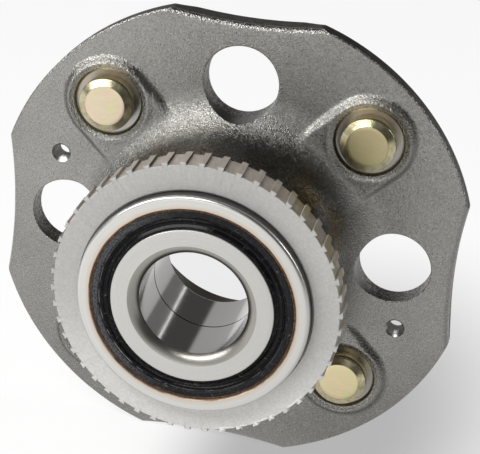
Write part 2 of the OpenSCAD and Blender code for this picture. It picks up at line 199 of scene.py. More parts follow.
class Graph:
    """A node tree with short calls for its nodes."""

    def __init__(self, tree, coords, scale):
        self.tree = tree
        tree.nodes.clear()
        place = self.add("TexCoord").outputs[coords]
        self.at = self.add("VectorMath", (0, place), ("Scale", scale), operation="SCALE").outputs[0]
        self.x, self.y, self.z = self.add("SeparateXYZ", (0, self.at)).outputs

    def add(self, kind, *inputs, **settings):
        """Adds a node, with its inputs as (name or number, value)."""
        node = self.tree.nodes.new("ShaderNode" + kind)
        for key, value in settings.items():
            setattr(node, key, value)
        for key, value in inputs:
            self.put(node.inputs[key], value)
        return node

    def put(self, socket, value):
        if isinstance(value, bpy.types.NodeSocket):
            self.tree.links.new(value, socket)
        else:
            socket.default_value = value

    def math(self, operation, a, b=0.0, c=0.0, clamp=False):
        return self.add("Math", (0, a), (1, b), (2, c), operation=operation,
                        use_clamp=clamp).outputs[0]

    def plus(self, a, b):
        return self.math("ADD", a, b)

    def times(self, *factors):
        return reduce(lambda a, b: self.math("MULTIPLY", a, b), factors)

    def times_plus(self, a, b, c):
        """a times b, plus c."""
        return self.math("MULTIPLY_ADD", a, b, c)

    def most(self, a, b):
        return self.math("MAXIMUM", a, b)

    def radius(self, a=None, b=None):
        a, b = (self.x if a is None else a), (self.z if b is None else b)
        return self.math("SQRT", self.times_plus(a, a, self.times(b, b)))

    def angle(self):
        """Angle round the axis from +X towards +Z, in turns from -0.5 to 0.5."""
        return self.math("DIVIDE", self.math("ARCTAN2", self.z, self.x), TAU)

    def stud_offset(self):
        """How far a place lies to the right of the nearest stud's axis, and above it."""
        leg = STUD_CENTRE / sqrt(2)
        return [self.times_plus(self.math("SIGN", v), -leg, v) for v in (self.x, self.z)]

    def stretched(self, x=1.0, y=1.0, z=1.0):
        return self.add("VectorMath", (0, self.at), (1, (x, y, z)), operation="MULTIPLY").outputs[0]

    def rings(self, per_radius, per_turn, per_y, rough=0.6, detail=3):
        """Noise that runs round the axis, for marks left by turning and grinding."""
        at = self.add("CombineXYZ", (0, self.times(self.radius(), per_radius)),
                      (1, self.times(self.angle(), per_turn)), (2, self.times(self.y, per_y)))
        return self.noise(1.0, detail, rough, at=at.outputs[0])

    def noise(self, scale, detail=2.0, rough=0.5, at=None, distortion=0.0):
        return self.add("TexNoise", ("Vector", at or self.at), ("Scale", scale), ("Detail", detail),
                        ("Roughness", rough), ("Distortion", distortion)).outputs[0]

    def cells(self, scale, at=None):
        """Distance from the middle of the nearest cell."""
        node = self.add("TexVoronoi", ("Vector", at or self.at), ("Scale", scale))
        return node.outputs["Distance"]

    def ramp(self, value, *stops):
        node = self.add("ValToRGB", (0, value))
        elements = node.color_ramp.elements
        while len(elements) < len(stops):
            elements.new(0.5)
        for element, (place, colour) in zip(elements, stops):
            element.position = place
            element.color = (*(colour if isinstance(colour, tuple) else (colour,) * 3), 1)
        return node.outputs[0]

    def step(self, value, low, high, start=0.0, end=1.0):
        """Goes smoothly from start to end while the value goes from low to high."""
        node = self.add("MapRange", ("Value", value), ("From Min", low), ("From Max", high),
                        ("To Min", start), ("To Max", end), interpolation_type="SMOOTHSTEP")
        return node.outputs[0]

    def band(self, value, low, high, soft):
        """1 where the value lies between low and high, with soft ends."""
        rise = self.step(value, low - soft, low + soft)
        fall = self.step(value, high - soft, high + soft)
        return self.math("SUBTRACT", rise, fall, clamp=True)

    def mix(self, share, a, b, blend="MIX"):
        """Mixes two colours."""
        a, b = ((*v, 1) if isinstance(v, tuple) else v for v in (a, b))
        return self.add("Mix", ("Factor", share), (6, a), (7, b), data_type="RGBA",
                        blend_type=blend).outputs[2]

    def over(self, base, colour, *shares):
        """The colour laid over the base, as far as the product of the shares says."""
        return self.mix(self.times(*shares), base, colour)

    def shaded(self, colour, shade):
        """The colour times the shade."""
        return self.mix(1.0, colour, shade, "MULTIPLY")

    def blend(self, share, a, b):
        """Mixes two numbers."""
        return self.add("Mix", ("Factor", share), (2, a), (3, b), data_type="FLOAT").outputs[0]


class Look(Graph):
    """A material. Its coordinates are the piece's own, in mm."""

    def __init__(self, name, metallic, specular=0.5):
        self.mat = bpy.data.materials.new(name)
        self.mat.use_nodes = True
        super().__init__(self.mat.node_tree, "Object", 1 / MM)
        self.bsdf = self.add("BsdfPrincipled", ("Metallic", metallic),
                             ("Specular IOR Level", specular))
        self.add("OutputMaterial", (0, self.bsdf.outputs[0]))

    def set(self, socket, value):
        self.put(self.bsdf.inputs[socket], value)

    def bump(self, height, depth, normal=None):
        """Bumps of that depth in mm, over an earlier bump if there is one."""
        earlier = [("Normal", normal)] if normal else []
        node = self.add("Bump", ("Strength", 1.0), ("Distance", depth * MM), ("Height", height),
                        *earlier)
        self.set("Normal", node.outputs[0])
        return node.outputs[0]

    def finish(self, colour, roughness, height, depth, normal=None):
        """Sets the colour, the roughness and the bumps, and gives the material."""
        self.set("Base Color", colour)
        self.set("Roughness", roughness)
        self.bump(height, depth, normal)
        return self.mat


def forged_look():
    """Shot-blasted forging: a warm grey with fine grains that glint on its slopes."""
    k = Look("forged_blasted_steel", metallic=1.0)
    grain = k.noise(2.8, 1, 0.5)
    speck = k.times_plus(grain, 0.55, k.times(k.noise(4.6, 1, 0.5), 0.45))
    colour = k.ramp(speck, (0.34, (0.235, 0.226, 0.21)), (0.48, (0.31, 0.301, 0.282)),
                    (0.58, (0.345, 0.336, 0.316)), (0.7, (0.45, 0.44, 0.42)))
    colour = k.shaded(colour, k.ramp(k.noise(0.055, 3, 0.55), (0.3, 0.93), (0.7, 1.05)))
    # Painted shade: darker from 48 mm in to 36 mm, where the fillet ends, for the shade in its
    # hollow
    near = k.ramp(k.math("DIVIDE", k.radius(), 60.0), (0.6, 0.5), (0.68, 0.74), (0.8, 1.0))
    colour = k.shaded(colour, near)
    # Brown film at the fillet's foot, most of it at two o'clock
    film = k.times(k.step(k.radius(), 41.5, 36.5), k.step(k.noise(0.14, 3), 0.38, 0.6))
    side = k.times_plus(k.band(k.angle(), 0.04, 0.14, 0.03), 0.55, 0.26)
    colour = k.over(colour, (0.165, 0.115, 0.055), film, side)
    pits = k.step(k.cells(0.22, at=k.stretched(z=1.3)), 0.08, 0.04)
    colour = k.over(colour, (0.12, 0.11, 0.1), pits, 0.35)
    return k.finish(colour, k.ramp(k.noise(0.9, 2, 0.6), (0.3, 0.21), (0.7, 0.31)),
                    grain, 0.105, k.bump(k.cells(2.35), 0.115))


def wall_look():
    """Sawn and turned edge of the flange, coloured near black as painted shade."""
    k = Look("rim_steel_painted_shade", metallic=0.85)
    line = k.noise(1.0, 3, 0.6, at=k.stretched(0.25, 3.0, 0.25))
    # Painted shade: near black with paler streaks
    colour = k.ramp(line, (0.3, (0.026, 0.024, 0.022)), (0.55, (0.055, 0.052, 0.049)),
                    (0.78, (0.16, 0.155, 0.15)))
    return k.finish(colour, k.ramp(k.noise(0.8, 2), (0.3, 0.42), (0.7, 0.62)),
                    k.plus(line, k.noise(2.2, 2)), 0.04)


def hole_look():
    """Pierced wall of an access hole: smooth and dark where the punch went in, torn and paler
    beyond."""
    k = Look("pierced_hole_steel", metallic=1.0)
    grain = k.noise(1.5, 3, 0.65)
    ragged = k.times_plus(k.noise(0.3, 3, 0.6), 5.0, k.y)
    torn = k.step(ragged, FLANGE_Y + 3.4, FLANGE_Y + 5.4)
    light = k.times(k.step(grain, 0.4, 0.66), k.times_plus(torn, 0.62, 0.16))
    return k.finish(k.mix(light, (0.085, 0.08, 0.073), (0.52, 0.51, 0.49)),
                    k.times_plus(torn, 0.16, 0.34), grain, 0.16)


def turned_look(name, colour, rough, lines):
    """Machined steel with the cutting tool's rings, a little stained."""
    k = Look(name, metallic=1.0)
    rings = k.rings(lines, 3.0, lines, 0.65)
    stain = k.times(k.step(k.noise(0.12, 3, 0.6), 0.5, 0.75), 0.12)
    base = k.shaded(colour, k.ramp(rings, (0.25, 0.8), (0.75, 1.12)))
    return k.finish(k.mix(stain, base, (0.5, 0.42, 0.3)),
                    k.times_plus(k.noise(0.5, 2), 0.1, rough), rings, 0.012)


def spot_look():
    """Floor and wall of a stud's seat, cut bright and smooth, with a painted brown reflection of
    the gold head on its upper side and a painted shade line at its mouth."""
    k = Look("spot_face_steel", metallic=1.0)
    right, above = k.stud_offset()
    r = k.radius(right, above)
    cut = k.noise(1.0, 2, 0.6, at=k.stretched(0.15, 0.15, 0.15))
    rings = k.math("SINE", k.times_plus(r, 14.0, k.times(cut, 6.0)))
    # Painted reflection: the gold head's brown, coloured onto the seat's upper side
    painted_gold_reflection = k.times(k.step(k.times_plus(right, -0.35, above), 1.5, 8.5),
                    k.step(k.noise(0.22, 2), 0.3, 0.62, 0.55, 1.0))
    colour = k.mix(painted_gold_reflection, (0.36, 0.35, 0.33), (0.42, 0.365, 0.305))
    # Painted shade: a dark line round the wall near the seat's mouth
    edge = k.step(r, SPOT_R - 0.55, SPOT_R - 0.15)
    mouth = k.times(edge, k.step(k.y, SPOT_Y - 1.35, SPOT_Y - 1.65))
    return k.finish(k.mix(k.times(mouth, 0.85), colour, (0.085, 0.07, 0.055)),
                    k.times_plus(k.noise(0.4, 2), 0.1, 0.19), rings, 0.003)


def barrel_look():
    """Turned end of the barrel, with a tan margin and a rust line at the seal's seat. Its outside
    is more matt, and coloured darker as painted shade."""
    k = Look("barrel_end_steel", metallic=1.0)
    rings = k.rings(5.0, 4.0, 5.0, 0.65)
    base = k.shaded((0.665, 0.65, 0.622), k.ramp(rings, (0.25, 0.86), (0.75, 1.08)))
    r = k.plus(k.radius(), k.times_plus(k.noise(0.25, 3), 0.9, -0.45))
    margin = k.step(r, SEAT_IN_R + 1.9, SEAT_IN_R + 0.3)
    base = k.over(base, (0.62, 0.48, 0.34), margin, 0.6)
    rust = k.step(r, SEAT_IN_R + 0.42, SEAT_IN_R + 0.05)
    base = k.over(base, (0.13, 0.07, 0.038), rust, 0.85)
    outside = k.step(k.y, -RING_W + 0.75, -RING_W + 1.25)
    # Painted shade: the outside is coloured a dark satin grey
    satin = k.ramp(k.noise(0.8, 3, 0.65), (0.3, (0.12, 0.12, 0.118)), (0.7, (0.19, 0.188, 0.184)))
    matt = k.blend(k.step(k.radius(), SEAT_IN_R + 0.62, SEAT_IN_R + 0.45), 0.0, 0.32)
    matt = k.plus(matt, k.times_plus(k.noise(0.6, 2), 0.1, 0.27))
    return k.finish(k.mix(outside, base, satin), k.blend(outside, matt, 0.46),
                    k.plus(rings, k.noise(1.8, 2)), 0.012)


def ground_look(name, colour, rough, lines, depth=0.004, bore=False):
    """Ground face with fine circular lines and worn pale specks, and a bore's dark joint and a
    painted highlight at its far end."""
    k = Look(name, metallic=1.0)
    rings = k.rings(lines, 6.0, lines, 0.7)
    speck = k.noise(3.2, 3, 0.65)
    base = k.shaded(colour, k.ramp(k.times_plus(rings, 0.5, k.times(speck, 0.5)),
                                   (0.3, 0.88), (0.7, 1.06)))
    matt = k.times_plus(k.noise(0.9, 2), 0.12, rough)
    if bore:
        # Painted highlight: a near-white band where the bore meets the lead-in at its far end
        end_y = RING_W - LEAD_DEPTH
        end = k.step(k.y, end_y - 0.38, end_y - 0.22)
        joint = k.band(k.y, -0.26, 0.26, 0.06)
        base = k.mix(joint, k.mix(end, base, (0.97, 0.95, 0.91)), (0.02, 0.02, 0.02))
        matt = k.most(matt, k.times(k.most(joint, end), 0.7))
    return k.finish(base, matt, k.plus(rings, k.times(speck, 0.5)), depth)


def sintered_look(name, flank=None):
    """Sintered tone ring: matt pale face, brown tooth tops and gaps, one oily side, white chips.
    The face is brighter at its lower right as painted light, the right side darker as painted
    shade, and a given flank colour paints the flanks as lit or shaded.
    """
    k = Look(name, metallic=0.4)
    r, angle = k.radius(), k.angle()
    speck = k.noise(1.5, 4, 0.68)
    face = k.ramp(speck, (0.25, (0.47, 0.465, 0.447)), (0.6, (0.59, 0.582, 0.562)),
                  (0.85, (0.69, 0.682, 0.66)))
    pores = k.step(k.cells(1.1), 0.16, 0.05)
    face = k.over(face, (0.22, 0.21, 0.19), pores, 0.3)
    # Painted light: the face is coloured brighter towards its bottom and its right
    face = k.shaded(face, k.times(k.step(k.z, 0, -32, 1.0, 1.34), k.step(k.x, 6, 36, 1.0, 1.1)))
    streak = k.rings(0.2, 190.0, 0.25)
    brown = k.ramp(streak, (0.25, (0.43, 0.38, 0.33)), (0.5, (0.56, 0.5, 0.44)),
                   (0.8, (0.69, 0.63, 0.565)))
    # Painted shade: tooth tops and gaps darker on the ring's right side
    painted_right_shade = k.band(angle, -0.1, 0.165, 0.05)
    brown = k.over(brown, (0.1, 0.088, 0.072), painted_right_shade, 0.4)
    oil = k.times(k.band(angle, 0.02, 0.15, 0.035), k.step(k.noise(0.2, 2), 0.38, 0.6))
    brown = k.over(brown, (0.28, 0.235, 0.085), oil, 0.75)
    # Painted light and shade: on the ring's right and upper part the flanks take the given colour,
    # dark as shade or pale as lit
    if flank:
        brown = k.mix(k.band(angle, -0.1, 0.335, 0.025), (0.44, 0.42, 0.39), flank)
        brown = k.shaded(brown, k.ramp(streak, (0.25, 0.75), (0.8, 1.1)))
    toothed = k.times(k.step(r, TONE_ROOT_R - 0.35, TONE_ROOT_R - 0.1),
                      k.step(k.y, TONE_FRONT_Y + 0.15, TONE_FRONT_Y + 0.45))
    # White chips along the lower right edge, and three places where they are closest
    deep = k.most(k.band(angle, -0.151, -0.142, 0.003), k.band(angle, -0.172, -0.16, 0.003))
    deep = k.most(deep, k.band(angle, -0.122, -0.1, 0.004))
    chips = k.times(k.band(angle, -0.215, -0.1, 0.01),
                    k.most(deep, k.step(k.noise(0.33, 3), 0.52, 0.56)),
                    k.step(k.noise(1.3, 2), 0.4, 0.46),
                    k.step(r, TONE_ROOT_R - 1.0, TONE_ROOT_R - 0.5))
    matt = k.times_plus(toothed, -0.16, k.ramp(speck, (0.3, 0.56), (0.7, 0.7)))
    return k.finish(k.mix(chips, k.mix(toothed, face, brown), (0.98, 0.98, 0.98)), matt,
                    streak, 0.015, k.bump(speck, 0.035))


def zinc_look(name, disc, bevel):
    """Yellow zinc plating: a satin disc with faint brushing, and a brighter mottled bevel."""
    k = Look(name, metallic=1.0)
    cloud = k.noise(0.2, 2, 0.6)
    tint = lambda *shares: tuple(c * share for c, share in zip(disc, shares))
    tints = k.ramp(cloud, (0.3, tint(0.96, 1.01, 0.86)), (0.46, disc),
                   (0.58, tint(1.05, 0.97, 0.99)), (0.72, tint(0.93, 1.02, 0.88)))
    r, disc_r = k.radius(*k.stud_offset()), HEAD_R - BEVEL_W
    on_bevel = k.step(r, disc_r - 0.04, disc_r + 0.08)
    mottle = k.times(k.step(k.noise(0.62, 3, 0.7), 0.46, 0.62), 0.4)
    base = k.mix(on_bevel, tints, k.mix(mottle, bevel, (0.27, 0.255, 0.12)))
    line = k.band(r, disc_r - 0.13, disc_r, 0.06)
    base = k.over(base, (0.16, 0.13, 0.06), line, 0.55)
    brushed = k.noise(1.0, 2, 0.6, at=k.stretched(0.35, 1.0, 3.2))
    grain = k.times_plus(k.noise(2.2, 3, 0.6), 0.5, k.times(brushed, 0.5))
    return k.finish(k.shaded(base, k.ramp(grain, (0.32, 0.92), (0.68, 1.05))),
                    k.times_plus(on_bevel, -0.1, k.times_plus(cloud, 0.1, 0.3)),
                    k.plus(grain, cloud), 0.012)


def rubber_look():
    """Moulded black rubber: an outer band grey with dust and, mostly on its left, painted sheen,
    blacker and greasier lips, a painted highlight line, scratches and specks."""
    k = Look("seal_rubber", metallic=0.0, specular=0.13)
    streak = k.rings(3.0, 9.0, 3.0)
    speckle = k.noise(1.7, 3, 0.65)
    outer = k.step(k.radius(), 27.9, 28.15)
    # The outer band's grey: specks of dust, made stronger on the left side as painted sheen
    left = k.step(k.math("ABSOLUTE", k.angle()), 0.26, 0.4)
    film = k.times(outer, k.times_plus(left, 0.85, 0.12), k.step(speckle, 0.3, 0.66))
    base = k.ramp(streak, (0.3, (0.003, 0.003, 0.004)), (0.7, (0.008, 0.008, 0.009)))
    base = k.mix(film, base, (0.125, 0.13, 0.14))
    dust = k.times(k.step(k.cells(0.9), 0.085, 0.035), k.step(k.noise(0.3, 2), 0.46, 0.6))
    scratch = k.band(k.noise(0.33, 1, 0.4, distortion=0.6), 0.497, 0.503, 0.002)
    marks = k.most(k.times(dust, 0.6), k.times(scratch, 0.25))
    # Painted highlight: a pale broken line at the outer band's inner edge, stronger on the left
    line = k.times(k.band(k.radius(), 27.8, 27.93, 0.04), k.step(k.noise(0.25, 2), 0.36, 0.58))
    marks = k.most(marks, k.times(line, k.times_plus(left, 0.8, 0.2)))
    gloss = k.times_plus(outer, 0.22, k.ramp(streak, (0.3, 0.07), (0.7, 0.2)))
    return k.finish(k.mix(marks, base, (0.48, 0.455, 0.42)), k.plus(gloss, k.times(dust, 0.4)),
                    k.plus(k.times(streak, 0.8), k.times(speckle, 0.5)), 0.04)


def case_look():
    """Thin pressed case with rust at its edge."""
    k = Look("rusty_case_steel", metallic=0.6)
    spots = k.noise(1.4, 3, 0.65)
    colour = k.ramp(spots, (0.28, (0.03, 0.018, 0.012)), (0.5, (0.085, 0.045, 0.024)),
                    (0.72, (0.26, 0.15, 0.085)))
    return k.finish(colour, k.ramp(spots, (0.3, 0.38), (0.7, 0.68)), spots, 0.03)


def polished_look(name, colour, rough):
    """Polished bearing steel with faint circular marks."""
    k = Look(name, metallic=1.0)
    marks = k.rings(6.0, 3.0, 6.0)
    return k.finish(k.shaded(colour, k.ramp(marks, (0.3, 0.93), (0.7, 1.03))),
                    k.times_plus(k.noise(0.4, 2), 0.05, rough), marks, 0.002)


def polymer_look():
    """Glass-filled nylon of the cages, with a faint grain and grease."""
    k = Look("cage_polymer", metallic=0.0)
    grain = k.noise(1.8, 4, 0.65)
    fibres = k.rings(2.0, 30.0, 5.0, detail=2)
    return k.finish(k.mix(k.step(fibres, 0.4, 0.7), (0.42, 0.34, 0.22), (0.52, 0.44, 0.3)),
                    k.ramp(grain, (0.3, 0.3), (0.7, 0.52)), grain, 0.02)


FORGED, RIM, HOLE = forged_look(), wall_look(), hole_look()
SPOT, BARREL = spot_look(), barrel_look()
FACED = turned_look("faced_steel", (0.5, 0.495, 0.485), 0.26, 2.6)
# Painted shade: the seal's seat and the pilot's bore, deep inside the hub, are coloured a dark
# brown grey
SEAT = turned_look("bored_steel_painted_shade", (0.21, 0.185, 0.16), 0.34, 4.0)
RACE = polished_look("raceway_steel", (0.6, 0.6, 0.61), 0.08)
RING_FACE = ground_look("ground_ring_steel", (0.61, 0.6, 0.572), 0.4, 7.0)
RING_BORE = ground_look("honed_bore_steel", (0.42, 0.41, 0.395), 0.07, 9.0, 0.0015, True)
RING_LEAD = ground_look("turned_lead_in_steel", (0.36, 0.345, 0.315), 0.28, 6.0)
BALL = polished_look("ball_steel", (0.66, 0.66, 0.67), 0.05)
SINTERED = sintered_look("sintered_steel")
# Flank looks with painted shade and painted light
LIT_AND_SHADED_FLANKS = [sintered_look("sintered_painted_shade_flank", (0.085, 0.072, 0.06)),
          sintered_look("sintered_painted_lit_flank", (0.88, 0.84, 0.77))]
RUBBER, CASE, POLYMER = rubber_look(), case_look(), polymer_look()
ZINC = [zinc_look("zinc_greenish", (0.52, 0.46, 0.265), (0.62, 0.56, 0.37)),
        zinc_look("zinc_rosy", (0.7, 0.6, 0.445), (0.6, 0.545, 0.37)),
        zinc_look("zinc_plain", (0.66, 0.585, 0.4), (0.6, 0.53, 0.34)),
        zinc_look("zinc_golden", (0.86, 0.76, 0.47), (0.7, 0.62, 0.41))]


# Meshes

class Shell:
    """Collects strips and sheets of faces that share their edges, then welds them into one piece.
    A face's kind is the number of its look."""

    def __init__(self):
        self.points, self.faces, self.kinds, self.count = [], [], [], 0

    def sheet(self, points, faces, kind=0):
        self.points.append(np.asarray(points, float))
        self.faces.extend((np.asarray(faces, int) + self.count).tolist())
        self.kinds.extend(np.broadcast_to(kind, len(faces)).tolist())
        self.count += len(points)

    def strip(self, rows, kind=0):
        """Quads between rows of points, each of which runs round a closed loop.
        The kind is one number, or one for each column of quads."""
        rows = np.asarray(rows, float)
        k, n, _ = rows.shape
        i, j = np.meshgrid(np.arange(k - 1), np.arange(n), indexing="ij")
        i, j = i.ravel(), j.ravel()
        after = (j + 1) % n
        faces = np.stack([i * n + j, i * n + after, (i + 1) * n + after, (i + 1) * n + j], -1)
        self.sheet(rows.reshape(-1, 3), faces, np.tile(kind, k - 1) if np.ndim(kind) else kind)

    def fan(self, row, centre, kind=0):
        n = len(row)
        faces = [(i, (i + 1) % n, n) for i in range(n)]
        self.sheet(np.vstack([row, centre]), faces, kind)

    def piece(self, name, looks, body, nodes, slot, sharp=32):
        mesh = bpy.data.meshes.new(name)
        mesh.from_pydata(np.concatenate(self.points) * MM, [], self.faces)
        mesh.polygons.foreach_set("material_index", self.kinds)
        for look in looks:
            mesh.materials.append(look)
        bm = bmesh.new()
        bm.from_mesh(mesh)
        bmesh.ops.remove_doubles(bm, verts=bm.verts, dist=2e-6)
        bmesh.ops.dissolve_degenerate(bm, edges=bm.edges, dist=1e-7)
        bmesh.ops.recalc_face_normals(bm, faces=bm.faces)
        open_edges = sum(1 for e in bm.edges if len(e.link_faces) != 2)
        if open_edges:
            print(name, "has", open_edges, "open edges")
        bm.to_mesh(mesh)
        bm.free()
        mesh.shade_smooth()
        mesh.set_sharp_from_angle(angle=radians(sharp))
        obj = add_object(name, mesh)
        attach(obj, body)
        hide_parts(*nodes)


def arc(centre, r, start, end, steps):
    """Points of an arc as (radius, place), angles in degrees from the radius's direction."""
    turn = np.radians(np.linspace(start, end, steps + 1))
    return [(centre[0] + r * cos(t), centre[1] + r * sin(t)) for t in turn]


def circle(r, centre=(0, 0), n=DIVISIONS):
    """Points (x, z) round a circle. The radius is one number, or one for each point."""
    turn = np.arange(n) * TAU / n
    return np.stack([centre[0] + r * np.cos(turn), centre[1] + r * np.sin(turn)], -1)


def lift(plane, y):
    """Points (x, z) at places along the axis, as points in space."""
    plane = np.asarray(plane, float)
    return np.stack([plane[:, 0], np.broadcast_to(y, len(plane)), plane[:, 1]], -1)


def between(a, b, rows):
    return [a + (b - a) * t for t in np.linspace(0, 1, rows)]


def turned_rows(profile, centre=(0, 0), n=DIVISIONS):
    return [lift(circle(r, centre, n), y) for r, y in profile]


def turned_piece(name, runs, looks, body, node, slot, sharp=32):
    """A ring from runs of (kind, profile). Each run starts where the one before it ends."""
    shell = Shell()
    for kind, profile in runs:
        shell.strip(turned_rows(profile), kind)
    shell.piece(name, looks, body, [node], slot, sharp)


def flipped(points, side):
    """The profile on the knuckle side where side is -1, or as it is where side is 1."""
    return [(r, side * y) for r, y in points]


def quarter(edge, n):
    """Points of a rounded edge, each as its distance out from the wall and below the mouth."""
    return [(edge * (1 - sin(t)), edge * (1 - cos(t))) for t in np.radians(np.linspace(0, 90, n))]


def rounded(profile, r, steps=3):
    """A closed profile with its corners rounded to r, or less where a side is short."""
    out, profile = [], np.array(profile, float)
    for i, here in enumerate(profile):
        before, after = profile[i - 1] - here, profile[(i + 1) % len(profile)] - here
        lb, la = np.linalg.norm(before), np.linalg.norm(after)
        reach = min(r, lb * 0.45, la * 0.45)
        a, b = here + before / lb * reach, here + after / la * reach
        for t in np.linspace(0, 1, steps + 1):
            out.append(tuple((1 - t) ** 2 * a + 2 * t * (1 - t) * here + t * t * b))
    return out


# Height of the flange's knuckle side

WAVES = np.random.default_rng(7).uniform(-1, 1, (14, 4))


def uneven(p):
    """The forging's own unevenness, a few hundredths of a millimetre."""
    total = 0
    for u, v, phase, size in WAVES:
        wave = np.sin(p[:, 0] * u * 0.55 + p[:, 1] * v * 0.55 + phase * 9)
        total = total + wave * (0.3 + abs(size))
    return total * 0.008


def about_ear(p):
    """Place along the ray through the nearest stud and across it, and the distance from the part
    of that ray that the ear follows, which ends at the stud."""
    q = np.abs(p)
    along, across = (q[:, 0] + q[:, 1]) / sqrt(2), (q[:, 0] - q[:, 1]) / sqrt(2)
    return along, across, np.hypot(along - np.clip(along, 0, STUD_CENTRE), across)


def rise(p):
    """Height above the flange's flat face, from the root fillet, the ears and the dishes."""
    r = np.hypot(*p.T)
    s = np.clip((SHOULDER_R + ROOT_FILLET - r) / ROOT_FILLET, 0, 1)
    s[s > 1 - 1e-6] = 1.0            # the fillet stands upright there, so rounding would show
    fillet = ROOT_FILLET * (1 - np.sqrt(1 - s * s))
    along, across, d = about_ear(p)
    t = np.clip((FOOT_R - d) / (FOOT_R - CREST_R), 0, 1)
    ear = BOSS_H * (1 - np.cos(pi * t)) / 2
    ear = ear * np.clip(r - SHOULDER_R, 0, 1)
    # An ear grows from 0.4 of its height at 34 mm along its ray to all of it at 48 mm
    fade = np.clip((along - 34) / 14, 0, 1)
    ear = ear * (0.4 + 0.6 * fade * fade * (3 - 2 * fade))
    # The power blends the fillet and the ear softly where they meet
    height = (fillet ** 2.4 + ear ** 2.4) ** (1 / 2.4)
    from_stud = np.hypot(along - STUD_CENTRE, across)
    lip = 0.3 * np.exp(-((from_stud - 12.5) / 1.1) ** 2)
    dish = np.clip((DISH_R - from_stud) / (DISH_R - SPOT_R), 0, 1)
    height = height + lip - DISH * dish * dish * (3 - 2 * dish)
    return height + uneven(p) * np.clip((r - SHOULDER_R) / 3, 0, 1)


def from_cuts(p):
    """Distance from the centre of the nearest concave cut."""
    return np.min([np.hypot(*(p - c).T) for c in CUTS], axis=0)


def front_y(p):
    """Place of the knuckle side, with its rolled edge at the cuts and broken edge at the arcs."""
    inside = np.clip(ROLL_R - (from_cuts(p) - CUT_R), 0, ROLL_R)
    roll = ROLL_R - np.sqrt(ROLL_R ** 2 - inside ** 2)
    to_rim = FLANGE_R - np.hypot(*p.T)
    edge = np.clip(RIM_BREAK - to_rim, 0, RIM_BREAK)
    return FLANGE_Y - rise(p) + np.maximum(roll, edge)


def back_y(p):
    """Place of the wheel side, with its chamfer at the arcs."""
    to_rim = FLANGE_R - np.hypot(*p.T)
    return BACK_Y - np.clip(BACK_CHAMFER - to_rim, 0, BACK_CHAMFER)


def outline(arc_inset, cut_inset):
    """The flange's outline, set in from its arcs and from its concave cuts."""
    r, c = FLANGE_R - arc_inset, CUT_R + cut_inset
    corner = acos((r * r + CUT_CENTRE ** 2 - c * c) / (2 * r * CUT_CENTRE))
    half = asin(r * sin(corner) / c)
    loop = []
    for quarter in range(4):
        turn = quarter * pi / 2
        for t in np.linspace(-half, half, CUT_POINTS, endpoint=False):
            x, z = CUT_CENTRE - c * cos(t), c * sin(t)
            loop.append((x * cos(turn) - z * sin(turn),
                         x * sin(turn) + z * cos(turn)))
        first, last = turn + corner, turn + pi / 2 - corner
        for t in np.linspace(first, last, ARC_POINTS, endpoint=False):
            loop.append((r * cos(t), r * sin(t)))
    return np.array(loop)


def hex_points(step, keep):
    """Evenly spread points over the flange, where keep() says so."""
    n = int(FLANGE_R / step) + 2
    i, j = np.meshgrid(np.arange(-n, n + 1), np.arange(-2 * n, 2 * n + 1))
    p = np.stack([(i + (j % 2) / 2) * step, j * step * sqrt(3) / 2], -1).reshape(-1, 2)
    return p[keep(p)]


def clear_of(points, others, gap):
    """Those points that keep that distance from the others."""
    cells = {}
    for q in others:
        cells.setdefault((int(q[0] // gap), int(q[1] // gap)), []).append(q)
    out = []
    for p in points:
        i, j = int(p[0] // gap), int(p[1] // gap)
        near = (q for a in (i - 1, i, i + 1) for b in (j - 1, j, j + 1)
                for q in cells.get((a, b), ()))
        if all((p[0] - q[0]) ** 2 + (p[1] - q[1]) ** 2 > gap * gap for q in near):
            out.append(p)
    return np.array(out).reshape(-1, 2)


def flat_mesh(loops, free, inside):
    """Triangles over an area bounded by loops, through the free points."""
    points, edges, start = [], [], 0
    for loop in loops:
        n = len(loop)
        points.extend(loop)
        edges.extend((start + i, start + (i + 1) % n) for i in range(n))
        start += n
    points = [Vector(p) for p in points] + [Vector(p) for p in free]
    found, _, triangles = delaunay_2d_cdt(points, edges, [], 0, 1e-6, False)[:3]
    found = np.array([tuple(v) for v in found])
    triangles = np.array(triangles)
    return found, triangles[inside(found[triangles].mean(axis=1))]


def hole_mouths(stud_r):
    """Radius, centre and number of points of each hole's edge in one side of the flange."""
    return ([(stud_r, c, STUD_N) for c in STUDS] + [(ACCESS_MOUTH_R, c, ACCESS_N) for c in ACCESS]
            + [(SCREW_MOUTH_R, c, SCREW_N) for c in SCREWS])


def side_area(inner_r, arc_inset, cut_inset, stud_r):
    """The test of which points lie on one side of the flange, at a margin from all its edges."""
    def area(p, margin=0.0):
        r = np.hypot(*p.T)
        keep = (r > inner_r + margin) & (r < FLANGE_R - arc_inset - margin)
        keep &= from_cuts(p) > CUT_R + cut_inset + margin
        for hole_r, c, _ in hole_mouths(stud_r):
            keep &= np.hypot(*(p - c).T) > hole_r + margin
        return keep

    return area


# Kinds of face on the hub

(ON_FORGED, ON_RIM, ON_FACED, ON_SPOT, ON_THREAD, ON_HOLE, ON_BARREL, ON_SEAT, ON_RACE) = range(9)
HUB_LOOKS = [FORGED, RIM, FACED, SPOT, FACED, HOLE, BARREL, SEAT, RACE]


